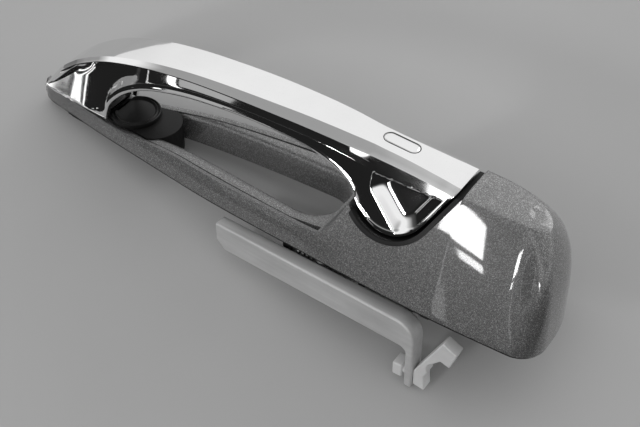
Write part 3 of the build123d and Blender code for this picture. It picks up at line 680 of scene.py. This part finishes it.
def ledge_half(half_widths):
    """One side of the ledge, as ribs from the rail to the opening's edge and down."""
    x = np.linspace(-96, OPEN_X, 90)
    turn = np.linspace(0, np.pi / 2, 30)[1:]
    inner = np.concatenate([np.stack([x, -smooth(OPEN_KNOTS, half_widths, x)], 1),
                            np.stack([OPEN_X + OPEN_R * np.sin(turn), -OPEN_R * np.cos(turn)], 1)])
    rim = smooth(RIM_X, RIM_Y, x) - SKIN - LEAN
    stations = [0, 0.9, np.pi / 2]
    reach = np.stack([np.interp(turn, stations, [OPEN_X, 42, 44]),
                      -np.interp(turn, stations, [rim[-1], 20, 0])], 1)
    outer = np.concatenate([np.stack([x, -rim], 1), reach])
    level = rail_height(outer[:, 0]) - 1.7
    shares = np.array([0, 0.13, 0.2, 0.6, 0.88, 0.96, 1.0, 1.0, 1.0, 1.0])
    drops = np.array([2.6, 2.6, 0.3, 0.7, 1.2, 1.9, 2.9, 5.0, 7.5, 0])
    plan = outer[:, None] + (inner - outer)[:, None] * shares[None, :, None]
    z = level[:, None] - drops[None, :]
    z[:, -1] = WALL_FOOT_Z
    return np.concatenate([plan, z[..., None]], -1)


make_tray()

# %% Saddle wall
def make_saddle():
    """Wall between the finger opening and the socket: its side view carried across the handle."""
    x = np.concatenate([np.linspace(33.6, 45.0, 30), np.linspace(45.05, 47.0, 8)])
    z = np.where(x <= 45.0, np.minimum(socket_edge(x), 28.0) - 0.15, 27.4 - (x - 45.0) * 3.0)
    across = np.linspace(-1, 1, 61)
    half = bezel_side(x, z) - 0.7
    grid = np.stack([x[:, None] + 0 * across, half[:, None] * across, z[:, None] + 0 * across], -1)
    obj = mesh_piece("saddle_wall", grid.reshape(-1, 3), quads(*grid.shape[:2]), "paint", "base", sharp=50.0)
    add_wall(obj, 1.0, -1)
    return obj


make_saddle()

# %% [markdown]
# ## Release lever, spring and clip
# The lever's bar is cast, so its edges are a little rounded, and its end turns down into a tab.
# Its outline is drawn in the side view and given its width by two slanting lines.
# A Bevel modifier rounds the edges.  The spring is one wire: a circle carried along a helix.

# %% Prism helper
def prism(name, outline, front, back, finish, body, replaces, edge):
    """A side outline (x, z) carried between two y lines, each given as y at x = 0 and its slope."""
    outline = np.asarray(outline, float)
    count = len(outline)
    sides = [np.column_stack([outline[:, 0], line[0] + line[1] * outline[:, 0], outline[:, 1]])
             for line in (front, back)]
    ring = np.arange(count)
    walls = np.stack([ring, np.roll(ring, -1), np.roll(ring, -1) + count, ring + count], 1).tolist()
    obj = mesh_piece(name, np.concatenate(sides), walls + [ring[::-1].tolist(), (ring + count).tolist()],
                     finish, body, replaces, sharp=35.0)
    rounded = obj.modifiers.new("edge", "BEVEL")
    rounded.width, rounded.segments, rounded.limit_method = edge * MM, 3, "ANGLE"
    rounded.angle_limit = np.radians(25)
    return obj


def arc(x, z, r, start, end, count=9):
    """Points of an arc in the side view, angles in degrees from +X towards +Z."""
    angle = np.radians(np.linspace(start, end, count))
    return np.stack([x + r * np.cos(angle), z + r * np.sin(angle)], 1).tolist()


def slanted(x0, y0, x1, y1):
    """A straight line in plan as its y at x = 0 and its slope."""
    slope = (y1 - y0) / (x1 - x0)
    return y0 - slope * x0, slope


# %% Lever bar and clip
BAR = ([(-17.0, -6.0)] + arc(78.0, -15.0, 9.0, 90, 0) + [(87.0, -41.0), (83.4, -41.0)]
       + arc(80.4, -22.5, 3.0, 0, 90) + [(-12.5, -19.5), (-17.0, -15.0)])
prism("lever_bar", BAR, slanted(-17.0, -27.0, 87.0, -34.2), slanted(-17.0, -20.8, 87.0, -25.6),
      "zinc", "lever", ["release_bar"], 0.8)
CLIP = ([(87.3, -31.0), (99.5, -8.0), (106.0, -11.5), (103.2, -20.0), (99.0, -18.6)]
        + arc(98.5, -27.0, 5.6, 120, 205, 8) + [(92.0, -32.0), (92.6, -40.0), (87.3, -39.0)])
prism("clip_arm", CLIP, (-33.0, 0.0), (-27.0, 0.0), "nylon", "clip", ["rod_clip"], 0.5)
HEAD = [(77.5, -31.1), (82.0, -31.1), (82.0, -37.9), (77.5, -37.9)]
prism("clip_head", HEAD, (-33.4, 0.0), (-26.6, 0.0), "nylon", "clip", ["clip_retainer"], 0.7)


# %% Round parts
def tube(name, path, radius, finish, body, replaces=()):
    """A round bar along a path: two directions square to the path carry the circle."""
    along = np.gradient(path, axis=0)
    along /= np.linalg.norm(along, axis=1)[:, None]
    across = np.cross(along, [0.13, 0.21, 0.97])
    across /= np.linalg.norm(across, axis=1)[:, None]
    other = np.cross(along, across)
    turn = np.linspace(0, 2 * np.pi, 17)[:-1]
    circle = across[:, None] * np.cos(turn)[:, None] + other[:, None] * np.sin(turn)[:, None]
    ring = path[:, None] + radius * circle
    rows, columns = ring.shape[:2]
    ends = [np.arange(columns)[::-1], np.arange(columns) + (rows - 1) * columns]
    faces = quads(rows, columns, close_columns=True).tolist() + [end.tolist() for end in ends]
    return mesh_piece(name, ring.reshape(-1, 3), faces, finish, body, replaces)


def helix():
    """Centre line of the torsion spring: a circle about the lever's shaft that moves on along X."""
    turn = np.linspace(0, 2 * np.pi * 12.25, 620)
    x = 20.9 + 28.2 * turn / turn[-1]
    return np.stack([x, -17.0 + 3.6 * np.cos(turn), -10.0 + 3.6 * np.sin(turn)], 1)


tube("spring_wire", helix(), 0.9, "spring_steel", "base", ["lever_spring"])
PIN = np.stack([np.linspace(81.0, 88.0, 8), np.full(8, -30.0), np.full(8, -34.5)], 1)
tube("clip_pin", PIN, 2.55, "nylon", "clip")

# %% [markdown]
# ## Pivot boot and button
# The rubber boot round the strap's root is a turned shape with two raised rings, cut straight where
# the root stands.  The button is a long pad with a domed top that follows the slope of the strap,
# and a thin black ring round its foot is painted shade: it stands for the shade in the groove round it.

# %% Pivot boot
BOOT_AT, BOOT_CUT_X = (-81.0, 0.0), -88.6
BOOT_PROFILE = [(0.01, 11.2), (4.0, 11.2), (8.6, 10.9), (9.1, 11.3), (9.5, 11.6), (9.8, 11.3), (10.2, 10.9),
                (10.6, 11.2), (11.0, 11.5), (11.3, 11.3), (11.5, 10.6), (11.5, 9.4), (0.01, 9.4)]


def make_boot():
    """A profile turned about a vertical axis; points beyond the cut are moved on to it."""
    profile = np.array(BOOT_PROFILE)
    turn = np.linspace(0, 2 * np.pi, 97)[:-1, None]
    x = np.maximum(BOOT_AT[0] + profile[:, 0] * np.cos(turn), BOOT_CUT_X)
    y = BOOT_AT[1] + profile[:, 0] * np.sin(turn)
    grid = np.stack([x, y, np.broadcast_to(profile[:, 1], x.shape)], -1)
    return mesh_piece("boot", grid.reshape(-1, 3), quads(*grid.shape[:2], close_rows=True),
                      "seal_rubber", "base", ["pivot_boot"], sharp=35.0)


make_boot()


# %% Button
BUTTON_AT, BUTTON_L, BUTTON_W = (57.6, 1.4), 15.6, 5.6


def pad_outline(grow, count=64):
    """Long round-ended outline: a circle whose two halves are moved apart."""
    turn = np.linspace(0, 2 * np.pi, count + 1)[:-1]
    r = BUTTON_W / 2 + grow
    apart = (BUTTON_L - BUTTON_W) / 2 * np.sign(np.cos(turn))
    return np.stack([BUTTON_AT[0] + apart + r * np.cos(turn), BUTTON_AT[1] + r * np.sin(turn)], 1)


def strap_top(x):
    """Height of the strap's outer face at x."""
    return np.interp(x, STRAP_HIGH[:, 0], STRAP_HIGH[:, 1])


def make_button():
    """Rings of the outline, each smaller and higher, over a straight skirt."""
    rings = [(0.0, -1.1), (0.0, -0.05), (-0.12, 0.12), (-0.4, 0.24), (-0.9, 0.30), (-1.8, 0.33),
             (-2.79, 0.34)]
    grid = []
    for grow, lift in rings:
        plan = pad_outline(grow)
        grid.append(np.column_stack([plan, strap_top(plan[:, 0]) + lift]))
    grid = np.array(grid)
    columns = grid.shape[1]
    faces = quads(*grid.shape[:2], close_columns=True).tolist()
    faces += [np.arange(columns).tolist(), (np.arange(columns) + (len(rings) - 1) * columns).tolist()]
    return mesh_piece("button_pad", grid.reshape(-1, 3), faces, "chrome", "button", ["button_cap"],
                      sharp=35.0)


def make_button_groove_shade():
    """Thin black ring round the button's foot: painted shade, standing for the shade in the groove there."""
    plan = pad_outline(0.28)
    path = np.column_stack([plan, strap_top(plan[:, 0]) - 0.08])
    turn = np.linspace(0, 2 * np.pi, 9)[:-1, None]
    outward = np.column_stack([pad_outline(1.28) - plan, np.zeros(len(plan))])
    circle = outward[:, None] * np.cos(turn) + np.array([0, 0, 1.0]) * np.sin(turn)
    ring = path[:, None] + 0.26 * circle
    return mesh_piece("button_groove_shade", ring.reshape(-1, 3), quads(*ring.shape[:2], True, True),
                      "seal_rubber", "strap")


make_button()
# a thin black ring that paints the shade of the groove round the button
make_button_groove_shade()

# %% [markdown]
# ## Studio
# A pale board, tipped so that the handle rests on its pivot block, the lever's tab and the strap's
# tail.  A large soft light stands overhead, a window and its sill shine on the cap, and narrow strips
# draw the streaks in the chrome.  The dark side of the room gives the chrome its black bands.

# %% Table
# a point of the pivot block, of the lever's tab and of the strap's tail
RESTS_ON = np.array([(-122.0, 0.0, -5.4), (85.0, -32.0, -41.8), (76.0, 10.5, -19.6)])
TABLE_RIGHT = (-175.0, 1500.0)     # reach along the camera's right
TABLE_NEAR = (-1500.0, 150.0)      # reach towards the camera


def make_table():
    """A board through the three points on which the handle rests.

    Its near edges lie just outside the camera's view, so that the strap's scoops reflect the dark
    room beyond them.  It can't be seen from below, which leaves the handle's back in view.
    """
    a, b, c = np.linalg.solve(np.column_stack([RESTS_ON[:, :2], np.ones(3)]), RESTS_ON[:, 2])
    right = np.array([np.cos(YAW), np.sin(YAW)])
    near = np.array([np.sin(YAW), -np.cos(YAW)])
    plan = [right * TABLE_RIGHT[i] + near * TABLE_NEAR[j] for i, j in ((0, 0), (0, 1), (1, 1), (1, 0))]
    points = [(x, y, a * x + b * y + c) for x, y in plan]
    mesh = bpy.data.meshes.new("table")
    mesh.from_pydata((np.array(points) * MM).tolist(), [], [[0, 1, 2, 3]])
    table = bpy.data.objects.new("table", mesh)
    bpy.context.scene.collection.objects.link(table)
    tree = Tree("table_top")
    table.data.materials.append(tree.set(
        Base_Color=tree.between(tree.noise(9, 4.0), 0.45, 0.50), Roughness=0.6 + 0.1 * tree.noise(40),
        Alpha=1 - tree.node("ShaderNodeNewGeometry", out="Backfacing")))
    print("board slopes", round(a, 3), "along X and", round(b, 3), "along Y")


make_table()


# %% Lights
def area_light(name, place, target, size, radiance):
    """A rectangle of even brightness that faces a target; its power follows from its area."""
    data = bpy.data.lights.new(name, "AREA")
    data.shape, data.size, data.size_y = "RECTANGLE", size[0], size[1]
    data.energy = radiance * np.pi * size[0] * size[1]
    light = bpy.data.objects.new(name, data)
    bpy.context.scene.collection.objects.link(light)
    place, target = np.array(place, float), np.array(target, float)
    back = (place - target) / np.linalg.norm(place - target)
    right = np.cross([0, 0, 1.0], back)
    right /= np.linalg.norm(right)
    matrix = np.eye(4)
    matrix[:3, :4] = np.column_stack([right, np.cross(back, right), back, place])
    light.matrix_world = Matrix(matrix.tolist())
    print(name, round(data.energy, 3), "W")


CAP_SIDE, NOSE, FOOT = (0.105, -0.018, 0.038), (-0.10, -0.01, 0.025), (0.066, -0.016, 0.036)
area_light("key", (0.45, 1.35, 1.15), (0, 0, 0), (1.1, 0.9), 2.3)
area_light("window", (-0.55, -1.89, 0.31), CAP_SIDE, (0.32, 0.20), 26)
area_light("window_sill", (-0.45, -1.93, 0.14), CAP_SIDE, (0.12, 0.06), 20)
area_light("wall", (-1.05, -1.45, -0.30), FOOT, (0.28, 0.7), 0.42)
for number, (x, y) in enumerate(((-1.063, -0.730), (-1.044, -0.755), (-1.020, -0.784))):
    area_light(f"strip_left_{number}", (x, y, 0.0), NOSE, (0.012, 0.5), 1.8)
area_light("strip_right", (-0.92, -1.00, 0.0), NOSE, (0.05, 0.5), 1.8)
area_light("strip_foot", (-0.42, -1.42, -0.04), FOOT, (0.04, 0.5), 1.6)


# %% Room
# share of the way from straight down to straight up, and the grey there
NEAR_SKY = [(0.0, 0.015), (0.58, 0.015), (0.63, 0.10), (0.70, 1.0), (0.78, 1.0), (0.83, 0.36),
            (0.93, 0.40), (1.0, 1.0)]
FAR_SKY = [(0.0, 0.10), (0.50, 0.30), (0.56, 0.80), (0.75, 0.95), (1.0, 1.0)]


def make_room():
    """Two ramps over the height, mixed by Y: the near side is dark up to a bright band, the far bright."""
    world = bpy.data.worlds.new("studio")
    bpy.context.scene.world = world
    world.use_nodes = True
    nodes, links = world.node_tree.nodes, world.node_tree.links
    place, split = nodes.new("ShaderNodeTexCoord"), nodes.new("ShaderNodeSeparateXYZ")
    height, side = nodes.new("ShaderNodeMapRange"), nodes.new("ShaderNodeMapRange")
    height.inputs["From Min"].default_value = -1.0
    side.inputs["From Min"].default_value, side.inputs["From Max"].default_value = -0.15, 0.25
    mix = nodes.new("ShaderNodeMix")
    mix.data_type = "RGBA"
    links.new(place.outputs["Generated"], split.inputs[0])
    links.new(split.outputs["Z"], height.inputs[0])
    links.new(split.outputs["Y"], side.inputs[0])
    links.new(side.outputs[0], mix.inputs["Factor"])
    for stops, socket in ((NEAR_SKY, mix.inputs[6]), (FAR_SKY, mix.inputs[7])):
        ramp = nodes.new("ShaderNodeValToRGB")
        for _ in stops[1:-1]:
            ramp.color_ramp.elements.new(0.5)
        for element, (position, grey) in zip(ramp.color_ramp.elements, stops):
            element.position, element.color = position, (grey, grey, grey, 1)
        links.new(height.outputs[0], ramp.inputs[0])
        links.new(ramp.outputs[0], socket)
    links.new(mix.outputs[2], nodes["Background"].inputs["Color"])
    print("room:", len(NEAR_SKY), "steps on the near side,", len(FAR_SKY), "on the far side")


make_room()
bpy.context.scene.view_settings.view_transform = "Standard"
